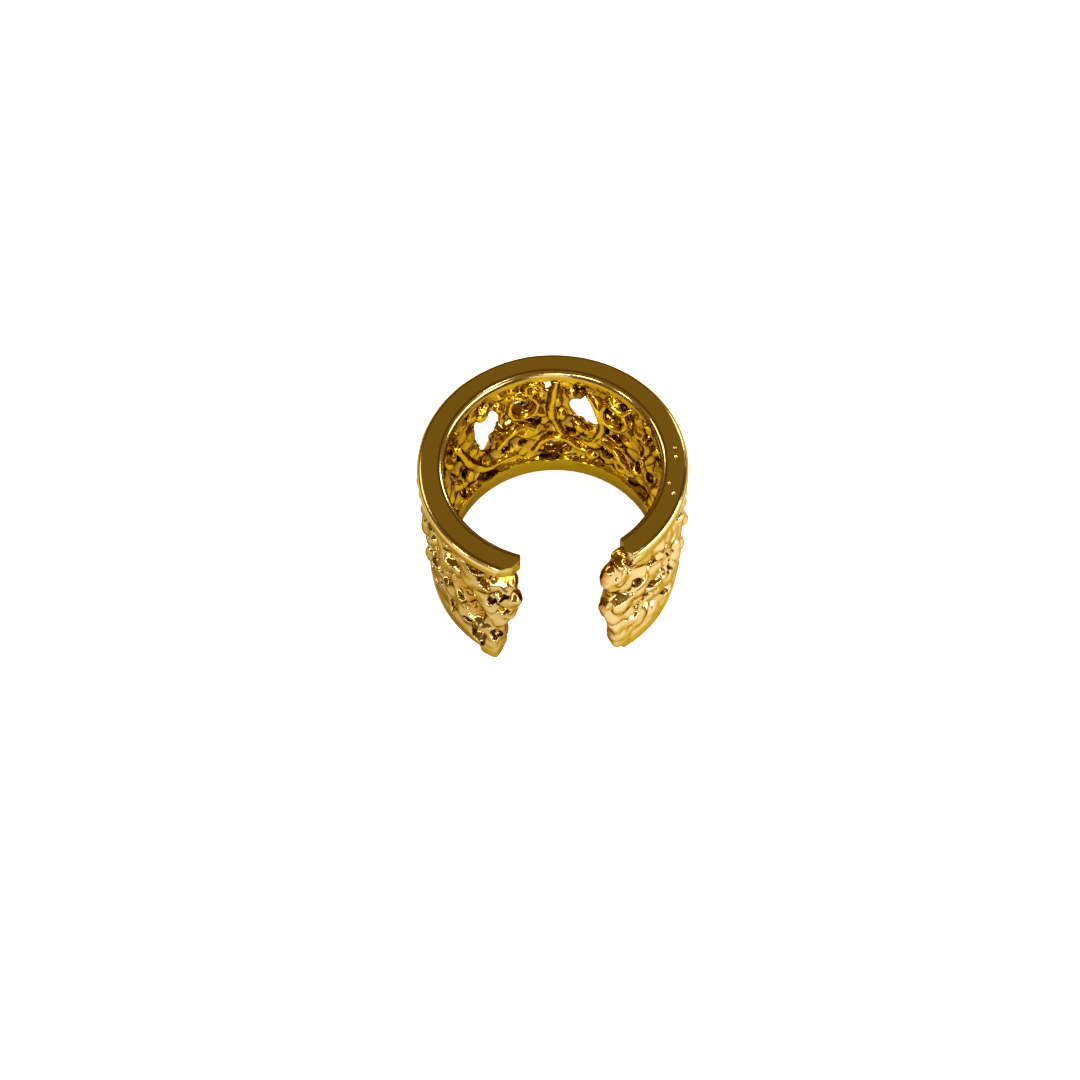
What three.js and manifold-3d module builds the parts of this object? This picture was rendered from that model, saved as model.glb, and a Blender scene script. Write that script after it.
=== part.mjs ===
// Ear cuff: a cast band open on one side, two plain rails joined by a pierced, lumpy openwork wall.
// Millimetres, +Z up, the open side faces -Y, and the band rests on its lower rail.
import * as THREE from 'three';
import { mergeVertices } from 'three/addons/utils/BufferGeometryUtils.js';
import Module from 'manifold-3d';

const wasm = await Module();
wasm.setup();

// Driving sizes
const outerRadius = 6.0;
const innerRadius = 4.92;
const height = 8.34;
const upperRailHeight = 0.92;
const lowerRailHeight = 1.12;
const edgeBevel = 0.16;
const wallThickness = 0.7;
const wallSink = 0.3;
const cordDepth = 1.02;

// Ends of the rails and of the wall at the open side: turns in degrees from the back, towards the left
const upperRailEnds = { leftInside: 163.8, leftOutside: 153.6, rightInside: -146.5, rightOutside: -138.5 };
const lowerRailEnds = { leftInside: 151.5, leftOutside: 149.5, rightInside: -149.0, rightOutside: -147.0 };
const wallEnds = { leftInside: 152, leftOutside: 152, rightInside: -150, rightOutside: -150 };

// Fineness of the round shapes
const bandSteps = 48;
const holeSteps = 7;
const domeSteps = 7;
const cordSides = 6;
const ringSteps = 10;
const shortestSide = 0.012;
const thinnestFace = 0.004;

// Holes through the wall. Turn and lean in degrees, the sizes as shares of the height, wide and tall from the
// middle. A hole with a dip slopes down towards the outside.
const openings = [
  // turn, level, wide, tall, lean, dip
  [35.5, 0.55, 0.076, 0.118, 0, 48],
  [31, 0.622, 0.035, 0.102, 0, 48],
  [24, 0.514, 0.063, 0.05, -14, 10],
  [36, 0.359, 0.037, 0.076, 0, 10],
  [16.5, 0.67, 0.051, 0.062, 0, 0],
  [8.6, 0.514, 0.039, 0.069, 0, 5],
  [2.2, 0.844, 0.023, 0.043, 0, 50],
  [3.2, 0.718, 0.012, 0.145, 6, 15],
  [-2.5, 0.23, 0.099, 0.084, 0, 0],
  [38, 0.167, 0.086, 0.031, 0, 0],
  [56.5, 0.538, 0.02, 0.085, -20, 0],
  [64, 0.43, 0.03, 0.083, -20, 0],
  [52.5, 0.287, 0.024, 0.055, -20, 0],
  [72, 0.604, 0.037, 0.076, 0, 0],
  [-18.4, 0.634, 0.061, 0.11, 0, 48],
  [-10.7, 0.658, 0.048, 0.041, 0, 48],
  [-23.4, 0.598, 0.035, 0.06, -20, 48],
  [-34.8, 0.67, 0.055, 0.074, 0, 0],
  [-30.7, 0.275, 0.056, 0.069, 10, 0],
  [-51.4, 0.323, 0.026, 0.055, 0, 0],
  [-61, 0.359, 0.028, 0.069, 20, 0],
  [-57, 0.688, 0.022, 0.069, 25, 0],
  [148.5, 0.794, 0.048, 0.041, -10, 0],
  [156.2, 0.658, 0.043, 0.041, 0, 0],
  [144.5, 0.43, 0.06, 0.174, -34, 0],
  [133.5, 0.514, 0.051, 0.102, -8, 0],
  [129, 0.778, 0.05, 0.097, -45, 0],
  [126.6, 0.257, 0.03, 0.081, 0, 0],
  [116.5, 0.323, 0.043, 0.047, 25, 0],
  [144.8, 0.167, 0.059, 0.057, 0, 0],
  [118, 0.814, 0.022, 0.103, -25, 0],
  [109.5, 0.784, 0.026, 0.103, -25, 0],
  [107, 0.472, 0.037, 0.083, 0, 0],
  [-152, 0.886, 0.022, 0.069, 6, 0],
  [-139.5, 0.706, 0.059, 0.057, -6, 0],
  [-143, 0.359, 0.045, 0.099, 10, 0],
  [-133.8, 0.275, 0.03, 0.049, 0, 0],
  [-126.3, 0.514, 0.045, 0.172, 20, 0],
  [-116, 0.736, 0.018, 0.097, 48, 0],
  [-118, 0.388, 0.03, 0.083, 15, 0],
  [-153.5, 0.598, 0.05, 0.041, -24, 0],
  [-106, 0.772, 0.037, 0.069, 30, 0],
  [-105, 0.508, 0.045, 0.103, 0, 0],
  [-107, 0.245, 0.037, 0.062, 0, 0],
  [-94, 0.652, 0.045, 0.103, 20, 0],
  [-93, 0.376, 0.039, 0.083, -20, 0],
  [-82, 0.784, 0.039, 0.069, 0, 0],
  [-81.5, 0.508, 0.045, 0.097, 0, 0],
  [-81, 0.245, 0.043, 0.062, 0, 0],
  [-70.5, 0.64, 0.037, 0.083, -15, 0],
  [82, 0.784, 0.039, 0.069, 0, 0],
  [81, 0.448, 0.043, 0.097, 10, 0],
  [82, 0.221, 0.039, 0.048, 0, 0],
  [94, 0.616, 0.043, 0.097, -15, 0],
  [94, 0.341, 0.037, 0.076, 15, 0],
];

// Cords through the wall: half their thickness as a share of the height, then their points as [turn, level]
const cords = [
  [0.03, [[20, 0.221], [30, 0.206], [39, 0.233], [46, 0.311], [51, 0.412], [55, 0.532], [58, 0.652]]],
  [0.03, [[63, 0.868], [57, 0.712], [51, 0.58], [46, 0.448], [41, 0.341]]],
  [0.026, [[31, 0.341], [27, 0.412], [21, 0.466], [14, 0.484], [9, 0.43]]],
  [0.029, [[10, 0.209], [5.5, 0.311], [-2, 0.359], [-9, 0.329], [-14, 0.245], [-19.5, 0.245]]],
  [0.026, [[-3, 0.88], [-1, 0.736], [0.5, 0.592], [-1.5, 0.472], [-6, 0.365]]],
  [0.024, [[-18.5, 0.784], [-22.5, 0.724], [-26.2, 0.628], [-28.2, 0.532], [-26.5, 0.412], [-21.5, 0.341]]],
  [0.024, [[-40, 0.388], [-47, 0.52], [-52.5, 0.64]]],
  [0.024, [[-49, 0.412], [-54, 0.293], [-58, 0.161]]],
  [0.031, [[136, 0.874], [142.5, 0.832], [147.5, 0.724], [151, 0.592], [153.7, 0.448], [153.5, 0.317], [150.5, 0.221]]],
  [0.026, [[138.5, 0.604], [138.5, 0.448], [136, 0.257], [133, 0.161]]],
  [0.026, [[128, 0.64], [128, 0.472], [131.5, 0.376], [136.5, 0.412]]],
  [0.03, [[-160, 0.796], [-156, 0.676], [-150.5, 0.586], [-145, 0.55], [-140.5, 0.598], [-138, 0.652]]],
  [0.028, [[-160, 0.604], [-155.5, 0.46], [-149, 0.448], [-143.5, 0.46], [-140.5, 0.508]]],
  [0.029, [[-131, 0.748], [-126.5, 0.7], [-121, 0.58], [-117.5, 0.424], [-115.5, 0.257]]],
];

// Rounded lumps through the wall
const lumps = [
  // turn, level, wide, tall, lean, deep
  [38, 0.724, 0.048, 0.06, 0, 0.072],
  [-4, 0.676, 0.032, 0.074, 0, 0.074],
  [-10.5, 0.76, 0.037, 0.055, 0, 0.072],
  [-14.8, 0.448, 0.041, 0.072, -20, 0.072],
  [-48.5, 0.874, 0.025, 0.038, 0, 0.067],
  [13, 0.382, 0.063, 0.054, 0, 0.067],
  [29, 0.365, 0.03, 0.062, 0, 0.072],
  [49.5, 0.257, 0.039, 0.066, 0, 0.07],
  [-135, 0.628, 0.041, 0.06, -10, 0.07],
  [123, 0.472, 0.037, 0.09, -25, 0.072],
  [113.5, 0.688, 0.037, 0.096, -25, 0.074],
  [103.5, 0.64, 0.039, 0.084, 0, 0.077],
  [104, 0.365, 0.037, 0.072, 0, 0.074],
  [-110.5, 0.82, 0.039, 0.066, 35, 0.077],
  [-110.5, 0.472, 0.039, 0.096, 0, 0.077],
  [-100, 0.604, 0.039, 0.084, 0, 0.077],
  [-99.5, 0.329, 0.037, 0.072, 0, 0.072],
  [-87.5, 0.532, 0.032, 0.072, 0, 0.072],
  [88, 0.52, 0.037, 0.072, 0, 0.072],
];

// Lobes that finish the wall on both sides of the open side
const endLobes = [
  // turn, level, wide, tall, lean, deep
  [159.4, 0.826, 0.067, 0.098, 0, 0.072],
  [160, 0.658, 0.069, 0.089, 0, 0.074],
  [157.2, 0.514, 0.067, 0.102, 0, 0.067],
  [153.5, 0.371, 0.06, 0.102, 0, 0.065],
  [152.5, 0.221, 0.064, 0.12, 0, 0.072],
  [149, 0.119, 0.074, 0.114, 0, 0.065],
  [-153.2, 0.838, 0.092, 0.156, 10, 0.084],
  [-150, 0.676, 0.076, 0.12, 0, 0.074],
  [-153.8, 0.544, 0.084, 0.114, 0, 0.077],
  [-151.5, 0.412, 0.083, 0.114, 10, 0.074],
  [-150.5, 0.257, 0.067, 0.126, 0, 0.07],
  [-148.5, 0.125, 0.076, 0.118, 0, 0.065],
  [-144, 0.886, 0.062, 0.09, 0, 0.065],
];

// Rings of cord round a hole: across is the radius of the ring's middle line
const rings = [
  // turn, level, across, thick
  [15.1, 0.67, 0.104, 0.023],
  [8.9, 0.832, 0.054, 0.019],
  [-34.8, 0.67, 0.106, 0.024],
  [81, 0.448, 0.112, 0.026],
  [-81.5, 0.508, 0.112, 0.026],
  [-94, 0.66, 0.108, 0.026],
];

const shareOfHeight = (share) => share * height;
const wallMiddle = (innerRadius + outerRadius) / 2;
const wallInside = wallMiddle - wallThickness / 2;
const wallOutside = wallMiddle + wallThickness / 2;

// A closed mesh with one corner where its faces meet, merged while its seams still match exactly
function closed(geometry) {
  geometry.deleteAttribute('normal');
  geometry.deleteAttribute('uv');
  return mergeVertices(geometry, 1e-4);
}

function asSolid(geometry) {
  const vertProperties = new Float32Array(geometry.attributes.position.array);
  const triVerts = new Uint32Array(geometry.index.array);
  return new wasm.Manifold(new wasm.Mesh({ numProp: 3, vertProperties, triVerts }));
}

const joinAll = (solids) => solids.reduce((sum, solid) => sum.add(solid));

function pointOnBand(turn, radius, z) {
  const angle = THREE.MathUtils.degToRad(turn);
  return new THREE.Vector3(-Math.sin(angle) * radius, Math.cos(angle) * radius, z);
}

// A shape is made flat, x along the wall's middle, y outwards and z up, and then wrapped round the band
function wrap(geometry, turn, level) {
  const position = geometry.attributes.position;
  for (let index = 0; index < position.count; index += 1) {
    const along = THREE.MathUtils.radToDeg(position.getX(index) / wallMiddle);
    const radius = wallMiddle + position.getY(index);
    const z = shareOfHeight(level) + position.getZ(index);
    const wrapped = pointOnBand(turn - along, radius, z);
    position.setXYZ(index, wrapped.x, wrapped.y, wrapped.z);
  }
  return geometry;
}

// The closed section of a rail: a rectangle with bevelled corners
function railSection(bottom, top) {
  return [
    [innerRadius + edgeBevel, bottom],
    [outerRadius - edgeBevel, bottom],
    [outerRadius, bottom + edgeBevel],
    [outerRadius, top - edgeBevel],
    [outerRadius - edgeBevel, top],
    [innerRadius + edgeBevel, top],
    [innerRadius, top - edgeBevel],
    [innerRadius, bottom + edgeBevel],
    [innerRadius + edgeBevel, bottom],
  ];
}

// The closed section of the wall between the rails, sunk into both of them
function wallSection(bottom, top) {
  return [
    [wallInside, bottom],
    [wallOutside, bottom],
    [wallOutside, top],
    [wallInside, top],
    [wallInside, bottom],
  ];
}

// The wedge that opens a ring at the front between its two ends
function openSide(ends) {
  const near = innerRadius * 0.8;
  const far = outerRadius * 1.25;
  const endTurn = (inside, outside, radius) => {
    const share = (radius - innerRadius) / (outerRadius - innerRadius);
    return inside + (outside - inside) * share;
  };
  const corners = [
    [endTurn(ends.leftInside, ends.leftOutside, near), near],
    [endTurn(ends.leftInside, ends.leftOutside, far), far],
    [180, far * 1.2],
    [endTurn(ends.rightInside, ends.rightOutside, far), far],
    [endTurn(ends.rightInside, ends.rightOutside, near), near],
  ];
  const outline = new THREE.Shape(corners.map(([turn, radius]) => {
    const corner = pointOnBand(turn, radius, 0);
    return new THREE.Vector2(corner.x, corner.y);
  }));
  const wedge = closed(new THREE.ExtrudeGeometry(outline, { depth: height * 2, bevelEnabled: false }));
  wedge.translate(0, 0, -height / 2);
  return asSolid(wedge);
}

// A ring turned from a closed section and opened at the front
function openRing(section, ends) {
  const profile = section.map(([radius, z]) => new THREE.Vector2(radius, z));
  const ring = closed(new THREE.LatheGeometry(profile, bandSteps));
  ring.rotateX(Math.PI / 2);
  return asSolid(ring).subtract(openSide(ends));
}

function openingSolid([turn, level, wide, tall, lean, dip]) {
  const reach = (outerRadius - innerRadius) * 3;
  const bore = closed(new THREE.CylinderGeometry(1, 1, reach, holeSteps));
  bore.scale(shareOfHeight(wide), 1, shareOfHeight(tall));
  bore.rotateY(THREE.MathUtils.degToRad(lean));
  // A dipping hole is placed by its mouth on the inside of the wall
  const slope = THREE.MathUtils.degToRad(dip);
  bore.rotateX(-slope);
  const dropToMiddle = dip > 20 ? Math.tan(slope) * wallThickness / 2 : 0;
  bore.translate(0, 0, -dropToMiddle);
  return asSolid(wrap(bore, turn, level));
}

// Stretches a flat cord across the wall, so that it stands out of both faces
function deepened(cord) {
  cord.computeBoundingBox();
  const { min, max } = cord.boundingBox;
  return cord.scale(1, cordDepth / (max.y - min.y), 1);
}

function cordSolid([thick, points]) {
  const path = new THREE.CatmullRomCurve3(points.map(([turn, level]) =>
    new THREE.Vector3(-THREE.MathUtils.degToRad(turn) * wallMiddle, 0, shareOfHeight(level))));
  const corners = Array.from({ length: cordSides }, (_, index) => {
    const angle = ((index + 0.5) / cordSides) * Math.PI * 2;
    return new THREE.Vector2(Math.cos(angle), Math.sin(angle)).multiplyScalar(shareOfHeight(thick));
  });
  const sweep = { steps: points.length - 1, extrudePath: path };
  const cord = closed(new THREE.ExtrudeGeometry(new THREE.Shape(corners), sweep));
  return asSolid(wrap(deepened(cord), 0, 0));
}

function ringSolid([turn, level, across, thick]) {
  const ring = closed(new THREE.TorusGeometry(shareOfHeight(across), shareOfHeight(thick), cordSides, ringSteps));
  ring.rotateX(Math.PI / 2);
  return asSolid(wrap(deepened(ring), turn, level));
}

function lumpSolid([turn, level, wide, tall, lean, deep]) {
  const lump = closed(new THREE.SphereGeometry(1, domeSteps, 4));
  lump.scale(shareOfHeight(wide), shareOfHeight(deep), shareOfHeight(tall));
  lump.rotateY(THREE.MathUtils.degToRad(lean));
  return asSolid(wrap(lump, turn, level));
}

// Joining leaves corners almost on each other and needle-thin faces. The first become one corner, and two faces
// that fold flat on each other there go; a thin face and its neighbour across the longest side exchange that side
// for the other diagonal.
function cleanFaces(mesh) {
  const corners = [];
  for (let index = 0; index < mesh.vertProperties.length; index += 3) {
    corners.push(new THREE.Vector3().fromArray(mesh.vertProperties, index));
  }
  const sidesOf = ([a, b, c]) => [[a, b, c], [b, c, a], [c, a, b]];
  let faces = [];
  for (let index = 0; index < mesh.triVerts.length; index += 3) {
    faces.push(Array.from(mesh.triVerts.slice(index, index + 3)));
  }

  const joined = corners.map((_, index) => index);
  const finalCorner = (index) => (joined[index] === index ? index : finalCorner(joined[index]));
  faces.forEach((face) => sidesOf(face).forEach(([from, to]) => {
    if (corners[from].distanceTo(corners[to]) < shortestSide) {
      joined[Math.max(finalCorner(from), finalCorner(to))] = Math.min(finalCorner(from), finalCorner(to));
    }
  }));
  faces = faces.map((face) => face.map(finalCorner)).filter(([a, b, c]) => a !== b && b !== c && c !== a);
  const cornersOf = (face) => [...face].sort((one, two) => one - two).join(' ');
  const timesUsed = new Map();
  faces.forEach((face) => timesUsed.set(cornersOf(face), (timesUsed.get(cornersOf(face)) ?? 0) + 1));
  faces = faces.filter((face) => timesUsed.get(cornersOf(face)) === 1);

  for (let round = 0; round < 4; round += 1) {
    const faceBySide = new Map();
    faces.forEach((face, index) => sidesOf(face).forEach(([from, to]) => faceBySide.set(`${from} ${to}`, index)));
    const settled = new Set();
    faces.forEach((face, index) => {
      const [from, to, tip] = sidesOf(face).sort((one, two) =>
        corners[two[0]].distanceTo(corners[two[1]]) - corners[one[0]].distanceTo(corners[one[1]]))[0];
      const side = new THREE.Line3(corners[from], corners[to]);
      const foot = side.closestPointToPoint(corners[tip], true, new THREE.Vector3());
      const neighbour = faceBySide.get(`${to} ${from}`);
      if (foot.distanceTo(corners[tip]) > thinnestFace || settled.has(index) || settled.has(neighbour)) return;
      const across = faces[neighbour].find((corner) => corner !== from && corner !== to);
      if (faceBySide.has(`${tip} ${across}`) || faceBySide.has(`${across} ${tip}`)) return;
      faces[index] = [from, across, tip];
      faces[neighbour] = [across, to, tip];
      settled.add(index).add(neighbour);
    });
  }
  return { corners, faces };
}

const upperRail = openRing(railSection(height - upperRailHeight, height), upperRailEnds);
const lowerRail = openRing(railSection(0, lowerRailHeight), lowerRailEnds);
const plainWall = openRing(wallSection(wallSink, height - wallSink), wallEnds);

const piercedWall = joinAll([plainWall, ...lumps.map(lumpSolid), ...endLobes.map(lumpSolid)])
  .subtract(joinAll(openings.map(openingSolid)));
const openwork = joinAll([piercedWall, ...rings.map(ringSolid), ...cords.map(cordSolid)]);
// Cutting can free a crumb between two holes, so only the largest body is kept
const bodies = joinAll([openwork, upperRail, lowerRail]).decompose();
const largest = bodies.reduce((best, body) => (body.volume() > best.volume() ? body : best));
const casting = cleanFaces(largest.getMesh());

const geometry = new THREE.BufferGeometry().setFromPoints(casting.corners);
geometry.setIndex(casting.faces.flat());
geometry.computeBoundingBox();
const box = geometry.boundingBox;
geometry.translate(-(box.min.x + box.max.x) / 2, -(box.min.y + box.max.y) / 2, -box.min.z);
geometry.computeVertexNormals();

const gold = new THREE.MeshStandardMaterial({ color: 0xb07a1c, roughness: 0.18, metalness: 1 });
const cuff = new THREE.Mesh(geometry, gold);
cuff.name = 'cuff_casting';

const object = new THREE.Group();
object.add(cuff);

export default object;
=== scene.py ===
# Cast ear cuff in polished gold: two plain rails and the pierced, knotted openwork between them
import bpy
import bmesh
from math import radians, pi, sin, cos, tan, hypot
from mathutils import Vector, Matrix


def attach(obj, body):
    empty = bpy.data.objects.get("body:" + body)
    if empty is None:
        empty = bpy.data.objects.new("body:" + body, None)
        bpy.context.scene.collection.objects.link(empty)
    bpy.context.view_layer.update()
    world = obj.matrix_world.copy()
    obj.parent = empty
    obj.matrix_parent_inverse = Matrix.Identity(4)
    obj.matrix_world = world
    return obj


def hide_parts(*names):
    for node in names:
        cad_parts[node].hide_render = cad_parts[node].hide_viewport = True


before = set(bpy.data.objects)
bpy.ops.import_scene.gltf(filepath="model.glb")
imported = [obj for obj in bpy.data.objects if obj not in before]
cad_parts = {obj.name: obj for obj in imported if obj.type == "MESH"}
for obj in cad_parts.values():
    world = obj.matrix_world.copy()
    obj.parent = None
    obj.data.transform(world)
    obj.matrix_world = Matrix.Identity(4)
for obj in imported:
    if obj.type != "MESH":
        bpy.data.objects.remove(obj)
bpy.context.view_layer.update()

# The cuff is modelled in millimetres with its axis at the origin, and brought into the frame at the end
cuff = {
    "axisX": 0.001,          # where the band's axis stands in the frame
    "axisY": -0.176,
    "inside": 4.92,
    "outside": 6.0,
    "height": 8.34,
}
cuff["middle"] = (cuff["inside"] + cuff["outside"]) / 2


def deselectAll():
    for thing in bpy.context.selected_objects:
        thing.select_set(False)


def onlySelect(piece):
    deselectAll()
    piece.select_set(True)
    bpy.context.view_layer.objects.active = piece


def applyPlace(piece):
    onlySelect(piece)
    bpy.ops.object.transform_apply(location=True, rotation=True, scale=True)


def applyModifier(piece, kind, **settings):
    onlySelect(piece)
    modifier = piece.modifiers.new(kind.lower(), kind)
    for name, value in settings.items():
        setattr(modifier, name, value)
    bpy.ops.object.modifier_apply(modifier=modifier.name)


def joinPieces(pieces, name):
    deselectAll()
    for piece in pieces:
        piece.select_set(True)
    bpy.context.view_layer.objects.active = pieces[0]
    bpy.ops.object.join()
    joined = bpy.context.object
    joined.name = name
    joined.data.name = name
    return joined


def groupBy(piece, name, rule):
    # Puts the vertices into a group, each with the share that the rule gives for its place
    group = piece.vertex_groups.new(name=name)
    steps = {}
    for vertex in piece.data.vertices:
        steps.setdefault(round(min(max(rule(vertex.co), 0), 1), 1), []).append(vertex.index)
    for share, members in steps.items():
        group.add(members, share, "REPLACE")


def roughen(piece, kind, size, strength, middle=0.5, group=""):
    grain = bpy.data.textures.new("grain", kind)
    grain.noise_scale = size
    applyModifier(piece, "DISPLACE", texture=grain, strength=strength, mid_level=middle, vertex_group=group)


def cutAway(piece, cutter):
    applyModifier(piece, "BOOLEAN", operation="DIFFERENCE", solver="MANIFOLD", object=cutter)
    onlySelect(cutter)
    bpy.ops.object.delete()


# Camera: at the photograph's angle, which was worked out from the circles of the two rails
camera = {
    "place": (0.0, -39.136, 67.18),      # millimetres in the frame
    "below": 56.49,                      # degrees below the horizon from there to the middle of the base
    "fromMiddle": (-0.5, -2.79),         # degrees that it looks aside and further down
    "roll": -1.22,
    "lens": 53.45,
    "sensor": 36,
}


def addCamera():
    place = Vector(camera["place"])
    below = radians(camera["below"])
    ahead = Vector((0, cos(below), -sin(below)))
    side = Vector((1, 0, 0))
    over = side.cross(ahead)
    aside, down = camera["fromMiddle"]
    look = (ahead + tan(radians(aside)) * side + tan(radians(down)) * over).normalized()
    right = look.cross(over).normalized()
    top = right.cross(look)
    turn, lift = cos(radians(camera["roll"])), sin(radians(camera["roll"]))
    axes = Matrix((turn * right + lift * top, turn * top - lift * right, -look)).transposed()
    bpy.ops.object.camera_add(location=place * 0.001, rotation=axes.to_euler())
    eye = bpy.context.object
    eye.name = "camera"
    eye.data.sensor_width = camera["sensor"]
    eye.data.lens = camera["lens"]
    eye.data.clip_start = 0.001
    eye.data.clip_end = 10
    bpy.context.scene.camera = eye


deselectAll()
addCamera()
print("camera placed")

# Studio: a white floor that glows a little, a bright band round the horizon, a dim warm ceiling
# and soft boxes
studio = {
    "floorSize": 3.0,
    "floorColor": (0.93, 0.93, 0.93, 1),
    "floorGlow": 0.82,
    "floorRoughness": 0.9,
    "floorGloss": 0.1,
    "horizon": (0.60, 0.52, 0.38, 1),
    "shade": (0.12, 0.085, 0.03, 1),     # the horizon at the back left, which is darker
    "ceiling": (0.55, 0.365, 0.062, 1),
    "bandTop": (0.05, 0.30),             # direction's height where the bright band starts to fade, and ends
    "boxDistance": 0.45,
}

# name: azimuth, elevation, width, height in metres, power in watts
softBoxes = {
    "key": (-20, 19, 0.52, 0.17, 3.8),
    "front": (-95, 20, 0.16, 0.05, 0.9),
    "front left": (-122, 28, 0.14, 0.09, 1.3),
    "right": (-25, 60, 0.07, 0.07, 0.6),
    "back right": (50, 28, 0.10, 0.08, 1.0),
    "left": (150, 38, 0.18, 0.10, 0.8),
    "low left": (205, 18, 0.08, 0.06, 0.6),
}


def addSoftBox(name, azimuth, elevation, width, tall, power):
    a, e = radians(azimuth), radians(elevation)
    place = Vector((cos(a) * cos(e), sin(a) * cos(e), sin(e))) * studio["boxDistance"]
    bpy.ops.object.light_add(type="AREA", location=place)
    box = bpy.context.object
    box.name = name + "_box"
    box.rotation_euler = (-place).to_track_quat("-Z", "Y").to_euler()
    box.data.shape = "RECTANGLE"
    box.data.size = width
    box.data.size_y = tall
    box.data.energy = power


class Flow:
    # A socket whose values can be added, multiplied and so on
    def __init__(self, tree, socket):
        self.tree = tree
        self.socket = socket

    def math(self, operation, *values):
        node = self.tree.nodes.new("ShaderNodeMath")
        node.operation = operation
        for plug, value in zip(node.inputs, values):
            if isinstance(value, Flow):
                self.tree.links.new(value.socket, plug)
            else:
                plug.default_value = value
        return Flow(self.tree, node.outputs[0])

    def __add__(self, other):
        return self.math("ADD", self, other)

    def __radd__(self, other):
        return self.math("ADD", other, self)

    def __sub__(self, other):
        return self.math("SUBTRACT", self, other)

    def __rsub__(self, other):
        return self.math("SUBTRACT", other, self)

    def __mul__(self, other):
        return self.math("MULTIPLY", self, other)

    def __rmul__(self, other):
        return self.math("MULTIPLY", other, self)

    def __truediv__(self, other):
        return self.math("DIVIDE", self, other)

    def __rtruediv__(self, other):
        return self.math("DIVIDE", other, self)

    def __pow__(self, other):
        return self.math("POWER", self, other)

    def __abs__(self):
        return self.math("ABSOLUTE", self)

    def above(self, low, high):
        # 0 at low, 1 at high and past it
        share = (self - low) / (high - low)
        return share.math("MINIMUM", share.math("MAXIMUM", share, 0.0), 1.0)


class Shader:
    # The nodes of a material or of the world
    def __init__(self, owner):
        owner.use_nodes = True
        self.tree = owner.node_tree

    def plug(self, socket, value):
        if isinstance(value, Flow):
            self.tree.links.new(value.socket, socket)
        else:
            socket.default_value = value

    def node(self, kind, settings={}, inputs={}, output=0):
        node = self.tree.nodes.new("ShaderNode" + kind)
        for name, value in settings.items():
            setattr(node, name, value)
        for name, value in inputs.items():
            self.plug(node.inputs[name], value)
        return Flow(self.tree, node.outputs[output])

    def mix(self, share, first, second):
        return self.node("Mix", {"data_type": "RGBA"}, {0: share, 6: first, 7: second}, 2)

    def last(self, name):
        return self.tree.nodes[name]


def lightWorld():
    world = bpy.data.worlds.new("studio")
    bpy.context.scene.world = world
    shader = Shader(world)
    direction = shader.node("TexCoord")
    x, y, lift = [shader.node("SeparateXYZ", {}, {"Vector": direction}, axis) for axis in range(3)]
    backLeft = (y * 0.6 - x * 0.8).above(0.1, 0.7)
    horizon = shader.mix(backLeft, studio["horizon"], studio["shade"])
    color = shader.mix(lift.above(*studio["bandTop"]), horizon, studio["ceiling"])
    shader.plug(shader.last("Background").inputs["Color"], color)


def layFloor():
    bpy.ops.mesh.primitive_plane_add(size=studio["floorSize"])
    floor = bpy.context.object
    floor.name = "floor"
    paper = bpy.data.materials.new("white paper")
    surface = Shader(paper).last("Principled BSDF")
    surface.inputs["Base Color"].default_value = studio["floorColor"]
    surface.inputs["Roughness"].default_value = studio["floorRoughness"]
    surface.inputs["Specular IOR Level"].default_value = studio["floorGloss"]
    surface.inputs["Emission Color"].default_value = (1, 1, 1, 1)
    surface.inputs["Emission Strength"].default_value = studio["floorGlow"]
    floor.data.materials.append(paper)


layFloor()
lightWorld()
for name, box in softBoxes.items():
    addSoftBox(name, *box)
bpy.context.scene.view_settings.view_transform = "Standard"
print("studio lit")

# Gold: polished, with a fine grain and rubbing marks; painted shade makes it darker and redder deep in the
# openwork
gold = {
    "top": (0.30, 0.225, 0.085, 1),          # the rail's flat top, in patches of two tones
    "topWarm": (0.29, 0.205, 0.07, 1),
    "left": (0.215, 0.15, 0.05, 1),          # the outside, painted darker at the left and paler at the right: painted shade and light
    "right": (0.35, 0.262, 0.122, 1),
    # painted shade and reflection on the inner face: a deeper, more saturated gold
    "inside": (0.46, 0.295, 0.012, 1),
    "foot": (0.26, 0.17, 0.006, 1),          # painted shade on the inside of the lower rail
    "deep": (0.20, 0.098, 0.011, 1),         # painted shade in the holes and hollows
    "line": (0.07, 0.022, 0.003, 1),         # dark lines along the edges of the flat top: painted shade, partly dirt
    "glancing": (0.38, 0.30, 0.10, 1),       # seen along the surface
    "shine": 0.09,                           # the least and the most roughness
    "dull": 0.20,
    "coat": 0.05,
    "coatRoughness": 0.05,
    "paintedLightSpan": (-5.0, 5.0),                    # x between which the painted light on the outside grows paler
    "edgeLines": (5.02, 5.82),               # their radii, and from how far they fade to how near
    "lineFade": (0.07, 0.02),
    "lineShare": 0.7,
    "insideShadeFrom": (5.55, 5.20),              # radius where the painted inside shade starts, and is full
    "holeShadeFrom": (0.34, 0.10),                # from the wall's middle: where the painted hole shade starts, and is full
    "footShadeFrom": (1.2, 1.0),                  # height where the foot's painted shade starts, and is full
    "topFrom": (8.02, 8.07),                 # height where the flat top's tone starts, and is full
    "lineFrom": (8.2, 8.25),
}


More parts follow.
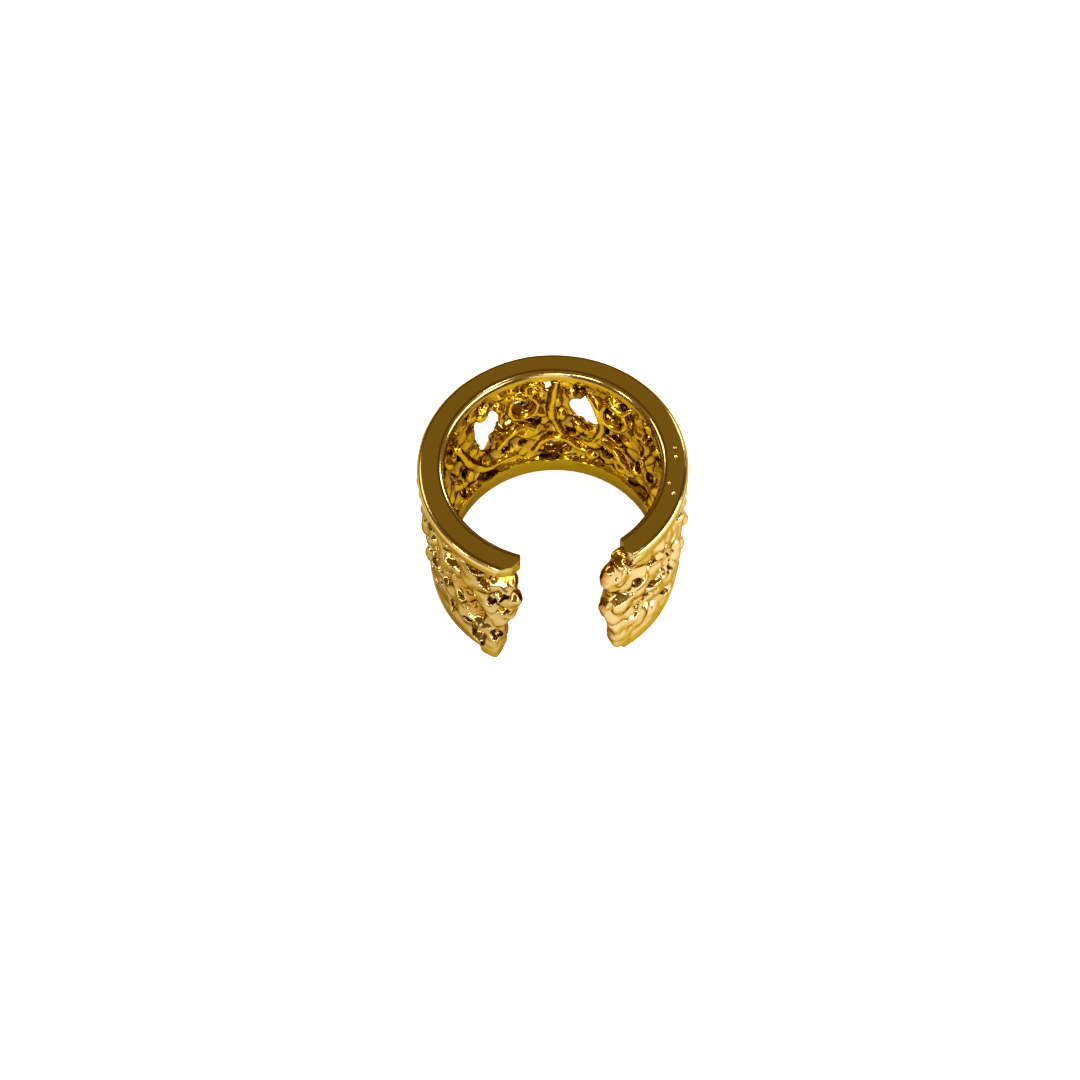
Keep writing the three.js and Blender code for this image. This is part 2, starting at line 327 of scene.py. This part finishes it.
def makeGold(name, paintsHoleShade, rubbingAndShadeLines, grain):
    coat = bpy.data.materials.new(name)
    shader = Shader(coat)
    surface = shader.last("Principled BSDF")
    surface.inputs["Metallic"].default_value = 1.0
    surface.inputs["Specular Tint"].default_value = gold["glancing"]
    surface.inputs["Coat Weight"].default_value = gold["coat"]
    surface.inputs["Coat Roughness"].default_value = gold["coatRoughness"]
    place = shader.node("TexCoord", {}, {}, 3)
    toAxis = (-cuff["axisX"] / 1000, -cuff["axisY"] / 1000, 0)
    centered = shader.node("Mapping", {}, {"Vector": place, "Location": toAxis})
    x, y, z = [shader.node("SeparateXYZ", {}, {"Vector": centered}, axis) * 1000.0 for axis in range(3)]
    radius = (x * x + y * y) ** 0.5
    patches = shader.node("TexNoise", {}, {"Vector": place, "Scale": 700.0, "Detail": 3.0})
    onTop = z.above(*gold["topFrom"])
    top = shader.mix(patches.above(0.35, 0.75), gold["top"], gold["topWarm"])
    # Painted light and shade: the outside is darker at the left and paler at the right
    sides = shader.mix(x.above(*gold["paintedLightSpan"]), gold["left"], gold["right"])
    color = shader.mix(onTop, sides, top)
    # Painted shade and reflection on the inner face, darker on the inside of the lower rail
    insideShadeShare = radius.above(*gold["insideShadeFrom"]) * (1.0 - onTop)
    insideShadeTone = shader.mix(z.above(*gold["footShadeFrom"]), gold["inside"], gold["foot"])
    color = shader.mix(insideShadeShare, color, insideShadeTone)
    if paintsHoleShade:
        # Painted shade in the holes and hollows, darker and redder near the wall's middle
        depth = abs(radius - cuff["middle"]).above(*gold["holeShadeFrom"])
        color = shader.mix(depth, color, gold["deep"])
    shader.plug(surface.inputs["Roughness"], patches * (gold["dull"] - gold["shine"]) + gold["shine"])
    fine = shader.node("TexNoise", {}, {"Vector": place, "Scale": 4200.0, "Detail": 3.0})
    height = fine * grain
    if rubbingAndShadeLines:
        # Dark lines of painted shade, partly dirt, along the edges of the flat top; the rubbing marks run
        # along the rail
        for edge in gold["edgeLines"]:
            near = abs(radius - edge).above(*gold["lineFade"])
            line = near * z.above(*gold["lineFrom"]) * gold["lineShare"]
            color = shader.mix(line, color, gold["line"])
        along = y.math("ARCTAN2", y, x)
        stretched = shader.node("CombineXYZ", {}, {"X": along * 3.0, "Y": radius * 9.0, "Z": z * 9.0})
        marks = shader.node("TexNoise", {}, {"Vector": stretched, "Scale": 1.0, "Detail": 2.0})
        height = height + marks * rubbingAndShadeLines
    shader.plug(surface.inputs["Base Color"], color)
    bump = shader.node("Bump", {}, {"Height": height, "Strength": 0.3, "Distance": 0.00003})
    shader.plug(surface.inputs["Normal"], bump)
    return coat


railGold = makeGold("polished gold", paintsHoleShade=False, rubbingAndShadeLines=0.5, grain=0.5)
castGold = makeGold("cast gold", paintsHoleShade=True, rubbingAndShadeLines=0, grain=1.0)
print("gold mixed")


def finishPiece(piece, coat, smoothUnder=180):
    # From millimetres round its own axis to metres in the frame
    piece.scale = (0.001, 0.001, 0.001)
    piece.location = (cuff["axisX"] / 1000, cuff["axisY"] / 1000, 0)
    applyPlace(piece)
    piece.data.materials.clear()
    piece.data.materials.append(coat)
    bpy.ops.object.mode_set(mode="EDIT")
    bpy.ops.mesh.select_all(action="SELECT")
    bpy.ops.mesh.normals_make_consistent(inside=False)
    bpy.ops.object.mode_set(mode="OBJECT")
    if smoothUnder < 180:
        bpy.ops.object.shade_smooth_by_angle(angle=radians(smoothUnder))
    else:
        bpy.ops.object.shade_smooth()
    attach(piece, "root")
    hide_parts("cuff_casting")
    print(piece.name, len(piece.data.polygons), "faces")


# Upper rail: a section turned round the axis, its ends cut slanting at the open side
# A turn is counted in degrees from the back of the cuff towards the photo's left
upperRail = {
    "bottom": 7.64,
    "top": 8.34,
    "inside": 4.80,
    "outside": 6.0,
    # corners of the ends, from the inside outwards: turn, radius
    "left": [(162.8, 4.92), (163.6, 5.2), (161.2, 5.65), (154.8, 6.0)],
    "right": [(-144.5, 4.92), (-147.0, 5.56), (-144.7, 5.88), (-140.0, 6.0)],
    "rounds": {"inner top": 0.26, "outer top": 0.27, "inner bottom": 0.10, "outer bottom": 0.10},
    "edgeRound": 0.07,           # of the cut ends
    "steps": 150,
    "spare": 3,                  # degrees that it is turned past its ends before they are cut
    "cutReach": 25,              # degrees round a cut in which faces are cut
    "dents": [(-84, 5.45), (-89, 5.44), (-104, 5.22), (-109, 5.52)],     # in the flat top: turn, radius
    "dentBall": 0.11,            # radius of the balls that cut them, and how high they lie
    "dentLift": 0.04,
    "waves": ("CLOUDS", 1.4, 0.02),
    "ragged": ("CLOUDS", 0.35, 0.30, 0.6),
    "raggedBelow": 7.95,         # height and radius at which the ragged edge starts
    "raggedWithin": 5.2,
    "raggedFade": 0.2,
}


def bandAngle(turn):
    return radians(90 + turn)


def pointAt(turn, radius, z=0.0):
    return Vector((cos(bandAngle(turn)) * radius, sin(bandAngle(turn)) * radius, z))


def startSection(rail, startTurn):
    middle = (rail["inside"] + rail["outside"]) / 2
    height = (rail["bottom"] + rail["top"]) / 2
    bpy.ops.mesh.primitive_plane_add(size=1, location=(middle, 0, height), rotation=(pi / 2, 0, 0))
    section = bpy.context.object
    section.name = "upper_rail"
    section.scale = (rail["outside"] - rail["inside"], rail["top"] - rail["bottom"], 1)
    applyPlace(section)
    bpy.ops.object.mode_set(mode="EDIT")
    for corner, size in rail["rounds"].items():
        bpy.ops.mesh.select_all(action="DESELECT")
        mesh = bmesh.from_edit_mesh(section.data)
        x = rail["inside"] if "inner" in corner else rail["outside"]
        z = rail["top"] if "top" in corner else rail["bottom"]
        mesh.select_mode = {"VERT"}
        for vertex in mesh.verts:
            vertex.select = hypot(vertex.co.x - x, vertex.co.z - z) < 0.001
        mesh.select_flush(True)
        bmesh.update_edit_mesh(section.data)
        bpy.ops.mesh.bevel(offset=size, segments=4, affect="VERTICES")
    # Long sides are divided, so that the surface can be made wavy
    bpy.ops.mesh.select_mode(type="EDGE")
    bpy.ops.mesh.select_all(action="DESELECT")
    mesh = bmesh.from_edit_mesh(section.data)
    for edge in mesh.edges:
        edge.select = edge.calc_length() > 0.3
    bmesh.update_edit_mesh(section.data)
    bpy.ops.mesh.subdivide(number_cuts=7)
    bpy.ops.object.mode_set(mode="OBJECT")
    section.rotation_euler = (0, 0, bandAngle(startTurn))
    applyPlace(section)
    return section


def cutEnd(inner, outer, side):
    # Cuts one end of the rail along the line between two of its corners
    near = inner[0]
    inner, outer = pointAt(*inner), pointAt(*outer)
    across = (outer - inner).normalized()
    away = Vector((-across.y, across.x, 0)) * side
    mesh = bmesh.from_edit_mesh(bpy.context.object.data)
    reach = radians(upperRail["cutReach"])
    for face in mesh.faces:
        spot = face.calc_center_median()
        face.select = spot.xy.angle(pointAt(near, 1).xy) < reach
    bmesh.update_edit_mesh(bpy.context.object.data)
    bpy.ops.mesh.bisect(plane_co=inner, plane_no=away, use_fill=True, clear_outer=True)


def raggedShare(spot):
    # The lower edge inside, with a soft start
    below = upperRail["raggedBelow"] - spot.z
    within = upperRail["raggedWithin"] - spot.xy.length
    return min(below, within) / upperRail["raggedFade"]


def turnRail(rail):
    first = min(rail["right"])[0] - rail["spare"]
    last = max(rail["left"])[0] + rail["spare"]
    section = startSection(rail, first)
    onlySelect(section)
    bpy.ops.object.mode_set(mode="EDIT")
    bpy.ops.mesh.select_mode(type="FACE")
    bpy.ops.mesh.select_all(action="SELECT")
    bpy.ops.mesh.spin(steps=rail["steps"], angle=-radians(last - first), center=(0, 0, 0), axis=(0, 0, 1))
    for end, side in (("left", 1), ("right", -1)):
        for inner, outer in zip(rail[end], rail[end][1:]):
            bpy.ops.mesh.select_all(action="DESELECT")
            cutEnd(inner, outer, side)
    bpy.ops.mesh.select_all(action="SELECT")
    bpy.ops.mesh.remove_doubles(threshold=0.0005)
    bpy.ops.mesh.normals_make_consistent(inside=False)
    bpy.ops.object.mode_set(mode="OBJECT")
    applyModifier(section, "BEVEL", width=rail["edgeRound"], segments=3, limit_method="ANGLE",
                  angle_limit=radians(50))
    roughen(section, *rail["waves"])
    for dent in rail["dents"]:
        bpy.ops.mesh.primitive_uv_sphere_add(segments=12, ring_count=8, radius=rail["dentBall"],
                                             location=pointAt(*dent, rail["top"] + rail["dentLift"]))
        cutAway(section, bpy.context.object)
    groupBy(section, "ragged", raggedShare)
    roughen(section, *rail["ragged"], "ragged")
    return section


finishPiece(turnRail(upperRail), railGold, smoothUnder=40)
print("rail turned")

# Openwork: modelled flat, x along the wall, y outwards, z up, then bent round the axis
openwork = {
    "inner": -0.26,              # the sheet's two faces, in millimetres from the middle of the wall
    "outer": 0.50,
    "ends": (152, -150),         # turns of its two ends
    "sink": 0.3,                 # how far it reaches into the upper rail
    "foot": {"tall": 1.12, "inner": -0.54, "outer": 0.53, "ends": (152.5, -149), "round": 0.16},
    # depth of the hollows and how far out their middle lies
    "hollows": {
        "window": (0.55, 0.50),
        "pocket": (0.42, -0.26),
        "scoop": (0.52, 0.10),
        "step": (0.42, 0.48),
    },
    "rough": ("window", "through", "dipping", "pocket"),      # kinds of holes with uneven walls
    "smooth": ("scoop", "step", "facet"),
    "dip": 57,                   # slope of the holes that the light falls through, in degrees
    "block": 0.75,               # half the height and depth of the cube that cuts a facet
    "cutLength": 2.2,            # half the length of the rods that cut through
    "lumpRoot": 0.15,            # how deep a lump's middle lies under the face
    "cordProud": 0.05,           # how far a cord's middle stands out of the inner face
    "weave": 0.07,
    "slabRound": 0.22,
    "holes": {
        # angle from the photo's right, millimetres below the top, half width in degrees, half height,
        # lean counterclockwise seen from outside
        "window": [    # hollows in the outer face
            (-128.2, 0.98, 6.6, 0.34, 0), (-122.3, 2, 4.25, 0.42, -10), (-116, 1.1, 2.5, 0.13, 5),
            (-141, 0.75, 2.3, 0.16, -10), (-150, 1.35, 3.78, 0.35, -15), (-158.5, 1.45, 5.07, 0.47, 0),
            (-141.6, 2.15, 6.61, 0.54, 30), (-134.7, 3.9, 7.79, 1, 0), (-130.5, 4.55, 4.25, 0.53, 20),
            (-127.3, 5.3, 8.73, 0.87, 0), (-149.5, 4.8, 5.43, 0.57, 20), (-118.5, 3.25, 1.89, 0.39, -35),
            (-116.8, 4.3, 1.42, 0.19, -30), (-120.3, 5.3, 1.65, 0.33, 0), (-145.8, 6.5, 2.6, 0.83, 10),
            (-127, 7.25, 5.19, 0.59, 0), (-117.6, 6.3, 2.6, 0.39, 10), (-142.3, 3.45, 8, 0.1, 43),
            (-137, 2.35, 1.77, 0.24, 20), (-156, 3.1, 3.07, 0.65, -20), (-155.5, 6, 3.54, 0.47, 20),
            (-133.5, 6.4, 2.83, 0.24, -20), (-57.7, 0.25, 2, 0.22, 20), (-52.2, 2.65, 2.71, 0.5, 10),
            (-43.5, 2.1, 2.71, 0.5, 10), (-47.6, 2.6, 1.65, 0.5, -15), (-32.8, 3.65, 4.25, 1.3, 0),
            (-40.6, 4.3, 8.73, 0.28, -30), (-45, 5, 3.3, 0.38, -30), (-52.4, 5.4, 6.61, 0.65, 0),
            (-42.8, 6.05, 3.19, 0.39, 0), (-38.6, 5.6, 0.9, 0.6, 0), (-24.8, 2.4, 2.36, 0.41, 0),
            (-35, 1.9, 3.6, 0.14, -35), (-26.5, 5, 1.89, 0.71, 10), (-55, 1.4, 1, 0.35, -20),
            (-163, 4.3, 2.8, 0.75, 10), (-165, 6.3, 2.8, 0.5, 0), (-171, 2.4, 3, 0.8, -20),
            (-166, 0.9, 2.4, 0.3, 0), (-16, 1.9, 2.8, 0.6, 30), (-15, 4.1, 3.2, 0.85, 0),
            (-19, 6.2, 2.8, 0.5, 0), (-9, 0.9, 2.4, 0.3, 0), (-29, 6.7, 3.07, 0.35, 20),
            (-10, 5.9, 2.4, 0.45, -15), (-24, 0.95, 2.8, 0.26, 10), (-9.5, 3.3, 1.8, 0.5, 25),
            (-176, 2, 2.6, 0.6, 15), (-157.5, 4.5, 2.6, 0.59, 10), (-161, 7, 2.6, 0.22, 0),
            (-178, 4, 2.4, 0.5, -10),
        ],
        "scoop": [    # a hollow that looks up, on a rounded end
            (-60.5, 0.3, 3.6, 0.26, 0),
        ],
        "step": [    # a ledge under a rounded end
            (-61.5, 3.15, 5.6, 0.3, 0),
        ],
        "facet": [    # bright planes cut aslant; the fourth number is how deep
            (-112.3, 1.5, 6.2, 0.26, 0), (-114.6, 3.05, 2.6, 0.13, -30), (-114.4, 4.55, 2.4, 0.12, -30),
            (-57.6, 1.35, 1.9, 0.12, -10),
        ],
        "through": [    # holes through the wall
            (-4, 2.9, 3.4, 0.8, 20), (-3, 5.2, 3, 0.65, -20), (8, 1.8, 3, 0.55, 0),
            (8.5, 4.1, 3.4, 0.75, 0), (9, 6.3, 3.2, 0.5, 0), (19.5, 3, 2.8, 0.65, -15),
            (20, 6.4, 2.8, 0.45, 0), (172, 1.8, 3, 0.55, 0), (171, 4.6, 3.2, 0.75, 10),
            (172, 6.5, 3, 0.4, 0), (-176, 5.5, 2.8, 0.6, 15), (162, 3.3, 2.8, 0.6, 0),
            (163, 6.2, 2.8, 0.5, 0), (106.8, 2.75, 4.8, 0.6, 0), (98.6, 4.15, 3, 0.5, 0),
            (114.5, 4.05, 4.8, 0.42, -14), (87.5, 6.4, 8.2, 0.62, 0), (55.6, 2.75, 4.8, 0.62, 0),
            (59.3, 6.05, 4, 0.5, 10), (72, 4.45, 3.4, 0.42, 15),
        ],
        "dipping": [    # holes that the light falls through
            (126.5, 3.35, 6.4, 1.15, 0), (120.2, 2.95, 3.2, 1.15, 8), (126.4, 4.35, 4.4, 0.8, 0),
            (73.5, 2.85, 7, 0.75, -18), (71.8, 2.4, 3.2, 0.75, 0), (67.8, 3.35, 4.6, 0.7, -20),
            (75.2, 3.65, 2.6, 0.55, 0), (92.2, 1.25, 2.4, 0.5, 0), (78.6, 2.75, 2.4, 0.45, 20),
        ],
        "pocket": [    # pits in the inner face
            (126, 5.35, 2.4, 0.5, 0), (97.8, 1.35, 2.6, 0.24, 0), (128, 7, 8.5, 0.3, 4),
            (138, 1.5, 1.3, 0.4, 0), (129.3, 1.5, 1.4, 0.4, 0), (147, 1.45, 1.4, 0.4, 0),
            (146.5, 3.85, 1.9, 0.75, -20), (154, 4.75, 2.4, 0.7, -20), (142.5, 5.95, 2, 0.5, -20),
            (152, 2.7, 1.9, 0.6, -20), (106, 5.85, 2.4, 0.32, 0), (115.5, 5.9, 2.2, 0.32, 10),
            (76, 1.58, 3, 0.28, 0), (61.5, 4.25, 2.1, 0.42, 0), (54.5, 4.62, 3.8, 0.26, -28),
            (38.6, 5.65, 2.2, 0.45, 0), (41, 7, 3.8, 0.26, 0), (49.5, 1.65, 3.4, 0.28, -10),
            (35.6, 4.35, 1.7, 0.45, 15), (29, 5.35, 2.4, 0.6, 20), (33, 2.6, 1.9, 0.6, 25),
            (80, 5.15, 2.4, 0.27, -25), (92, 7.25, 5.5, 0.16, 0), (146, 6.9, 2.2, 0.35, 0),
            (22.5, 4.6, 1.7, 0.5, 20),
        ],
    },
    "lumps": {
        # turn, below the top, half width, half height, lean, how far it stands out
        "inside": [
            (38, 2.3, 0.4, 0.5, 0, 0.2), (28, 2.35, 0.32, 0.5, -30, 0.2), (-4, 2.7, 0.27, 0.62, 0, 0.22),
            (-10.5, 2, 0.3, 0.46, 0, 0.2), (-5.2, 3.85, 0.27, 0.62, 0, 0.16),
            (-14.8, 4.6, 0.34, 0.6, -20, 0.2), (-43.2, 0.95, 0.17, 0.28, 0, 0.16),
            (-48.5, 1.05, 0.21, 0.32, 0, 0.16), (-56.5, 1.45, 0.29, 0.3, 0, 0.16),
            (13, 5.15, 0.52, 0.45, 0, 0.16), (29, 5.3, 0.25, 0.52, 0, 0.2),
            (49.5, 6.2, 0.32, 0.55, 0, 0.18), (37.5, 5.95, 0.29, 0.3, 0, 0.22),
            (-21.5, 6.9, 0.38, 0.35, 0, 0.14), (20, 1.4, 0.38, 0.35, 0, 0.14),
            (66.5, 3.3, 0.29, 0.55, -20, 0.18), (60, 5.9, 0.29, 0.5, -20, 0.18),
            (-68, 5.6, 0.3, 0.6, 20, 0.18),
        ],
        "outside": [
            (113.5, 2.6, 0.3, 0.8, -25, 0.22), (103.5, 3, 0.32, 0.7, 0, 0.24),
            (104, 5.3, 0.3, 0.6, 0, 0.22), (-110.5, 1.5, 0.32, 0.55, 35, 0.24),
            (-110.5, 4.4, 0.32, 0.8, 0, 0.24), (-100, 3.3, 0.32, 0.7, 0, 0.24),
            (-99.5, 5.6, 0.3, 0.6, 0, 0.2), (-87.5, 3.9, 0.27, 0.6, 0, 0.2), (88, 4, 0.3, 0.6, 0, 0.2),
            (87.5, 1.8, 0.29, 0.5, 0, 0.2), (-88, 1.7, 0.27, 0.5, 0, 0.2),
        ],
    },
    "lobes": [
        # the rounded ends of the wall: turn, below the top, half width, half height, lean, half depth
        (157, 1.75, 0.6, 0.78, 0, 0.56), (158.5, 3.05, 0.6, 0.76, 0, 0.56), (156, 4.1, 0.58, 0.72, 0, 0.54),
        (153, 5, 0.5, 0.62, 0, 0.52), (150.5, 6.25, 0.58, 0.92, 0, 0.58),
        (148.5, 7.35, 0.63, 0.95, 0, 0.66), (-151.5, 1.9, 0.71, 1.15, 5, 0.6),
        (-151.5, 4.4, 0.74, 0.95, 0, 0.74), (-150, 3, 0.6, 0.9, 0, 0.56), (-148.5, 5.9, 0.62, 1, 0, 0.56),
        (-147.5, 7.25, 0.6, 1, 0, 0.68),
    ],
    "cords": [
        # on the inner face: half thickness, then the route: turn, below the top
        (0.19, [(6.5, 2.75), (9.3, 2.1), (15, 1.85), (20.7, 2.1), (23.5, 2.75), (20.7, 3.4), (15, 3.65),
               (9.3, 3.4), (6.5, 2.75)]),
        (0.17, [(4.6, 1.42), (6.5, 1.05), (9.5, 0.95), (13, 1.2), (14, 1.5), (11, 1.85), (7, 1.88),
               (4.6, 1.42)]),
        (0.2, [(-43, 2.75), (-40.5, 2.05), (-35, 1.85), (-29.3, 2.05), (-27, 2.75), (-29.3, 3.45),
               (-35, 3.7), (-40.5, 3.45), (-43, 2.75)]),
        (0.25, [(20, 6.5), (30, 6.62), (39, 6.4), (46, 5.75), (51, 4.9), (55, 3.9), (58, 2.9)]),
        (0.22, [(31, 5.5), (27, 4.9), (21, 4.45), (14, 4.3), (9, 4.75)]),
        (0.24, [(10, 6.6), (5.5, 5.75), (-2, 5.35), (-9, 5.6), (-14, 6.3), (-19.5, 6.3)]),
        (0.22, [(-3, 1), (-1, 2.2), (0.5, 3.4), (-1.5, 4.4), (-6, 5.3)]),
        (0.2, [(-18.5, 1.8), (-22.5, 2.3), (-26.2, 3.1), (-28.2, 3.9), (-26.5, 4.9), (-21.5, 5.5)]),
        (0.17, [(-31.5, 1.35), (-34.5, 2), (-40, 2.12), (-44.5, 1.5)]),
        (0.26, [(-71, 1.6), (-66, 2.9), (-60, 4.2)]),
        (0.22, [(-28, 5.3), (-35, 5.25), (-41, 5.8), (-46, 6.5)]),
    ],
    "slabs": [
        # thicker ends of the sheet: turns, from and to below the top, inner and outer face
        ((148, 160.5), 0.95, 4.2, -0.34, 0.52),
        ((148, 154.5), 3.8, 6.6, -0.34, 0.54),
        ((146, 154), 6.2, 8.25, -0.50, 0.62),
        ((144, 153.8), 6.95, 8.32, -0.50, 0.76),
        ((-143.5, -152.5), 0.42, 2.9, -0.50, 0.52),
        ((-143.5, -156), 3.2, 5.4, -0.50, 0.70),
        ((-145, -153.5), 4.8, 7.9, -0.40, 0.58),
    ],
    "coarse": 0.07,              # sizes of the voxels that fuse the parts
    "fine": 0.05,
    "triangles": 190000,         # the most that the finished piece has
    "grains": {
        # texture, size, strength, middle
        "cutter": [("CLOUDS", 0.45, 0.24, 0.5)],
        "skin": [("VORONOI", 1.0, -0.45, 0.35)],        # leaf-like swellings with creases between them
        "behind": [("VORONOI", 0.85, -0.32, 0.4), ("CLOUDS", 0.55, 0.20, 0.5)],
        "windows": [("CLOUDS", 0.42, 0.24, 0.5)],
        "above": [("CLOUDS", 0.75, 0.20, 0.5)],
    },
}


def flatPoint(turn, below, outwards=0.0):
    return Vector((-radians(turn) * cuff["middle"], outwards, cuff["height"] - below))


def addBlock(ends, inner, outer, bottom, top):
    start, end = [flatPoint(turn, 0).x for turn in ends]
    middle = ((start + end) / 2, (inner + outer) / 2, (bottom + top) / 2)
    bpy.ops.mesh.primitive_cube_add(size=1, location=middle)
    block = bpy.context.object
    block.scale = (end - start, outer - inner, top - bottom)
    applyPlace(block)
    return block


def addSheet():
    return addBlock(openwork["ends"], openwork["inner"], openwork["outer"],
                    openwork["sink"], cuff["height"] - openwork["sink"])


def addSlab(ends, upper, lower, inner, outer):
    slab = addBlock(ends, inner, outer, cuff["height"] - lower, cuff["height"] - upper)
    applyModifier(slab, "BEVEL", width=openwork["slabRound"], segments=3)
    return slab


def addFoot():
    # The lower rail, which the sheet runs into without a step on the outside
    foot = openwork["foot"]
    block = addBlock(foot["ends"], foot["inner"], foot["outer"], 0, foot["tall"])
    applyModifier(block, "BEVEL", width=foot["round"], segments=4)
    return block


def addBall(spot, wide, deep, tall, lean):
    bpy.ops.mesh.primitive_uv_sphere_add(
        segments=20, ring_count=12, radius=1, location=spot, rotation=(0, radians(lean), 0))
    ball = bpy.context.object
    ball.scale = (wide, deep, tall)
    applyPlace(ball)
    return ball


def addLump(side, turn, below, wide, tall, lean, proud):
    root = openwork["lumpRoot"]
    depth = openwork["outer"] - root if side == "outside" else openwork["inner"] + root
    return addBall(flatPoint(turn, below, depth), wide, proud + root, tall, lean)


def addLobe(turn, below, wide, tall, lean, deep):
    # Faceted, as if cut by hand
    bpy.ops.mesh.primitive_ico_sphere_add(
        subdivisions=2, radius=1, location=flatPoint(turn, below), rotation=(0, radians(lean), 0))
    lobe = bpy.context.object
    lobe.scale = (wide, deep, tall)
    applyPlace(lobe)
    return lobe


def addCutter(kind, angle, below, halfAngle, tall, lean):
    turn = (angle - 90 + 180) % 360 - 180
    wide = radians(halfAngle) * cuff["middle"]
    if kind in openwork["hollows"]:
        depth, face = openwork["hollows"][kind]
        return addBall(flatPoint(turn, below, face), wide, depth, tall, lean)
    if kind == "facet":
        # A cube whose lower inner side lies aslant; tall is how deep it goes there
        half = openwork["block"]
        spot = flatPoint(turn, below, openwork["outer"] - tall)
        spot += Vector((0, half, half)) * sin(pi / 4)
        turned = Matrix.Rotation(radians(lean), 3, "Y") @ Matrix.Rotation(pi / 4, 3, "X")
        bpy.ops.mesh.primitive_cube_add(size=2, location=spot, rotation=turned.to_euler())
        cutter = bpy.context.object
        cutter.scale = (wide, half, half)
        applyPlace(cutter)
        return cutter
    turned = Matrix.Rotation(radians(lean), 3, "Y") @ Matrix.Rotation(pi / 2, 3, "X")
    depth = 0
    if kind == "dipping":
        dip = radians(openwork["dip"])
        turned = Matrix.Rotation(-dip, 3, "X") @ turned
        depth = openwork["inner"]
        tall *= cos(dip)
    bpy.ops.mesh.primitive_cylinder_add(
        vertices=24, radius=1, depth=2, location=flatPoint(turn, below, depth), rotation=turned.to_euler())
    cutter = bpy.context.object
    cutter.scale = (wide, tall, openwork["cutLength"])
    applyPlace(cutter)
    return cutter


def addCord(thick, route):
    closed = route[0] == route[-1]
    bpy.ops.curve.primitive_nurbs_path_add()
    cord = bpy.context.object
    path = cord.data.splines[0]
    if len(route) > len(path.points):
        path.points.add(len(route) - len(path.points))
    depth = openwork["inner"] - openwork["cordProud"]
    for index, point in enumerate(path.points):
        turn, below = route[min(index, len(route) - 1)]
        weave = openwork["weave"] * sin(index * 2.4)
        point.co = (*flatPoint(turn, below, depth + weave), 1)
        if not closed:
            # Thicker in the middle than at the ends
            point.radius = 0.65 + 0.5 * sin(pi * min(index / (len(route) - 1), 1))
    path.order_u = 3
    path.use_endpoint_u = True
    cord.data.bevel_depth = thick
    cord.data.bevel_resolution = 3
    cord.data.use_fill_caps = True
    onlySelect(cord)
    bpy.ops.object.convert(target="MESH")
    cord = bpy.context.object
    applyPlace(cord)
    return cord


def fuse(piece, voxel):
    applyModifier(piece, "REMESH", mode="VOXEL", voxel_size=voxel)


def bendRound(piece):
    xs = [vertex.co.x for vertex in piece.data.vertices]
    width = max(xs) - min(xs)
    applyModifier(piece, "SIMPLE_DEFORM", deform_method="BEND", deform_axis="Z",
                  angle=-width / cuff["middle"])
    piece.location = (0, cuff["middle"], 0)
    applyPlace(piece)


# These say how much of a grain each spot of the flat wall gets: none at 0 or less, all at 1 or more
def aboveFoot(spot):
    return (spot.z - 0.7) / 0.5


def behindSkin(spot):
    # Everywhere but on the smooth outer face, the foot and the rounded ends
    edge = min(openwork["ends"][0] + spot.x / radians(1) / cuff["middle"],
               -openwork["ends"][1] - spot.x / radians(1) / cuff["middle"])
    return min((0.12 - spot.y) / 0.25, aboveFoot(spot), (edge - 3) / 5)


def onSkin(spot):
    return min((spot.y - 0.30) / 0.12, aboveFoot(spot) / 2, (7.75 - spot.z) / 0.5)


def inWindows(spot):
    return min((0.36 - spot.y) / 0.06, (spot.y + 0.22) / 0.1, aboveFoot(spot))


def addGrain(piece, name, rule):
    groupBy(piece, name, rule)
    for grain in openwork["grains"][name]:
        roughen(piece, *grain, name)


def addCutters(kinds):
    cutters = [addCutter(kind, *row) for kind in kinds for row in openwork["holes"][kind]]
    return joinPieces(cutters, "cutter")


def makeOpenwork():
    solids = [addSheet(), addFoot()]
    solids += [addSlab(*row) for row in openwork["slabs"]]
    solids += [addLobe(*row) for row in openwork["lobes"]]
    wall = joinPieces(solids, "openwork")
    fuse(wall, openwork["coarse"])
    addGrain(wall, "skin", onSkin)
    cutter = addCutters(openwork["rough"])
    fuse(cutter, openwork["coarse"])
    roughen(cutter, *openwork["grains"]["cutter"][0])
    cutAway(wall, cutter)
    print("wall pierced", len(wall.data.polygons))
    fuse(wall, openwork["fine"])
    addGrain(wall, "behind", behindSkin)
    addGrain(wall, "windows", inWindows)
    cutAway(wall, addCutters(openwork["smooth"]))
    added = [addLump(side, *row) for side, rows in openwork["lumps"].items() for row in rows]
    added += [addCord(*row) for row in openwork["cords"]]
    wall = joinPieces([wall] + added, "openwork")
    fuse(wall, openwork["fine"])
    addGrain(wall, "above", aboveFoot)
    applyModifier(wall, "SMOOTH", factor=0.5, iterations=3)
    print("cords laid", len(wall.data.polygons))
    # Bent before it is thinned, because a thinned flat foot would not bend evenly
    bendRound(wall)
    triangles = 2 * len(wall.data.polygons)
    if triangles > openwork["triangles"]:
        applyModifier(wall, "DECIMATE", ratio=openwork["triangles"] / triangles)
    return wall


finishPiece(makeOpenwork(), castGold)
print("openwork finished")
